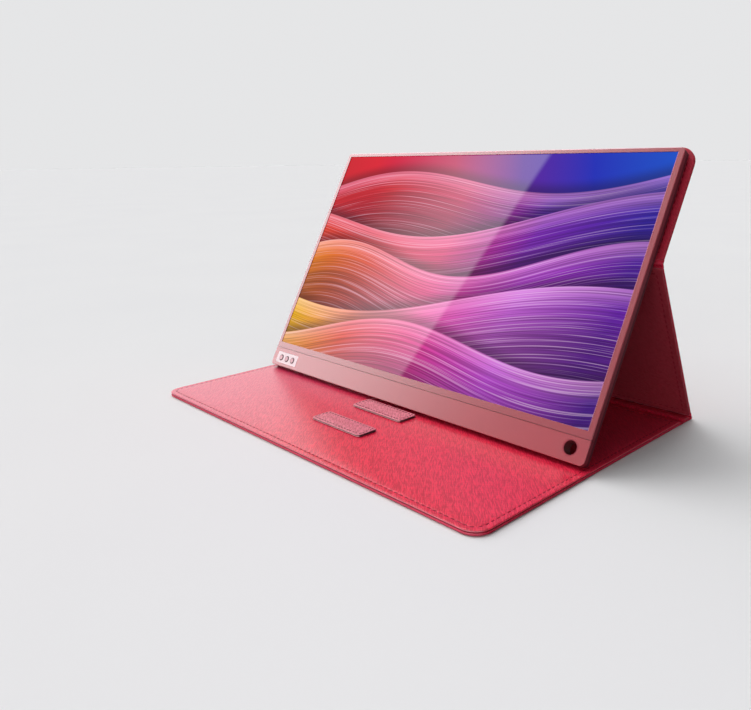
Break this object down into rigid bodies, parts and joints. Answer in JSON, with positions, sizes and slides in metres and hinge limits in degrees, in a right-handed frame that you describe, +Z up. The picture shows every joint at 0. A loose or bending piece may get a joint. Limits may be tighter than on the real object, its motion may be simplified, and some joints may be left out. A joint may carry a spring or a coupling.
{
  "type": "portable monitor with folding cover",
  "caption": "Slim portable monitor held by magnets in a folding leather cover, whose back panels make a triangular stand behind a flat base with stop strips.",
  "frame": {"origin": "on the table, at the centre of the footprint of the cover", "axes": "+X to the right as one faces the screen, +Y to the rear, +Z up"},
  "size_m": [0.359, 0.244, 0.1982],
  "materials": {
    "cover_leather": "grained, stitched",
    "lining_leather": "grained, stitched",
    "panel_leather": "grained, stitched",
    "stiff_board": "plain grey board",
    "magnet": "nickel plated",
    "pad_rubber": "matt",
    "rose_metal": "satin anodised",
    "plate_pale": "satin",
    "button_rose": "satin gloss",
    "sleeve_dark": "matt",
    "screen": "smooth, lit from behind",
    "optical_film": "translucent film",
    "light_guide_acrylic": "clear acrylic",
    "sheet_steel": "plain sheet",
    "circuit_board": "solder mask",
    "chip": "moulded",
    "copper_film": "amber film",
    "flat_cable": "pale film",
    "light_strip": "phosphor on white board",
    "speaker_body": "moulded",
    "screw_steel": "blackened",
    "socket_steel": "stamped"
  },
  "bodies": {
    "cover_base": {"cover_skin": "cover_leather", "cover_board": "stiff_board", "spine_board": "stiff_board", "cover_lining": "lining_leather", "cover_magnets": "magnet", "front_strip_core": "stiff_board", "front_strip_leather": "cover_leather", "rear_strip_core": "stiff_board", "rear_strip_leather": "cover_leather"},
    "rear_panel": {"rear_panel_skin": "cover_leather", "rear_panel_board": "stiff_board", "rear_panel_lining": "panel_leather"},
    "upper_panel": {"upper_panel_skin": "cover_leather", "upper_panel_board": "stiff_board", "upper_panel_lining": "panel_leather", "mount_magnets": "magnet", "mounting_pad": "pad_rubber"},
    "monitor": {"rear_shell": "rose_metal", "bezel_frame": "rose_metal", "chin_cover": "rose_metal", "pen_sleeve": "sleeve_dark", "button_plate": "plate_pale", "display_panel": "screen", "prism_sheet": "optical_film", "diffuser_sheet": "optical_film", "light_guide": "light_guide_acrylic", "reflector_sheet": "optical_film", "backlight_strip": "light_strip", "panel_tray": "sheet_steel", "panel_films": "copper_film", "driver_board": "circuit_board", "main_board": "circuit_board", "board_chips": "chip", "heat_spreader": "sheet_steel", "board_screws": "screw_steel", "lower_usb_socket": "socket_steel", "upper_usb_socket": "socket_steel", "video_socket": "socket_steel", "button_board": "circuit_board", "button_domes": "socket_steel", "button_cable": "flat_cable", "display_cable": "flat_cable", "speaker_left": "speaker_body", "speaker_right": "speaker_body", "speaker_leads": "chip", "steel_plate": "sheet_steel", "chin_screws": "screw_steel"},
    "menu_button": {"menu_button": "button_rose"},
    "minus_button": {"minus_button": "button_rose"},
    "plus_button": {"plus_button": "button_rose"}
  },
  "joints": [
    {"name": "rear_fold", "type": "hinge", "parent": "cover_base", "child": "rear_panel", "pos_m": [0, 0.1216, 0.0004], "axis": [-1, 0, 0], "range_deg": [0, 116.5]},
    {"name": "mid_fold", "type": "hinge", "parent": "rear_panel", "child": "upper_panel", "pos_m": [0, 0.05959, 0.12458], "axis": [-1, 0, 0], "range_deg": [-55.82, 0]},
    {"name": "monitor_release", "type": "slide", "parent": "upper_panel", "child": "monitor", "axis": [0, -0.8725, 0.4886], "range_m": [0, 0.04]},
    {"name": "menu_button_press", "type": "slide", "parent": "monitor", "child": "menu_button", "axis": [0, 0.8725, -0.4886], "range_m": [0, 0.0004], "stiffness_N_per_m": 600, "springref_m": -0.0015},
    {"name": "minus_button_press", "type": "slide", "parent": "monitor", "child": "minus_button", "axis": [0, 0.8725, -0.4886], "range_m": [0, 0.0004], "stiffness_N_per_m": 600, "springref_m": -0.0015},
    {"name": "plus_button_press", "type": "slide", "parent": "monitor", "child": "plus_button", "axis": [0, 0.8725, -0.4886], "range_m": [0, 0.0004], "stiffness_N_per_m": 600, "springref_m": -0.0015}
  ],
  "couplings": [
    {"joint": "mid_fold", "follows": "rear_fold", "ratio": -0.47871}
  ]
}
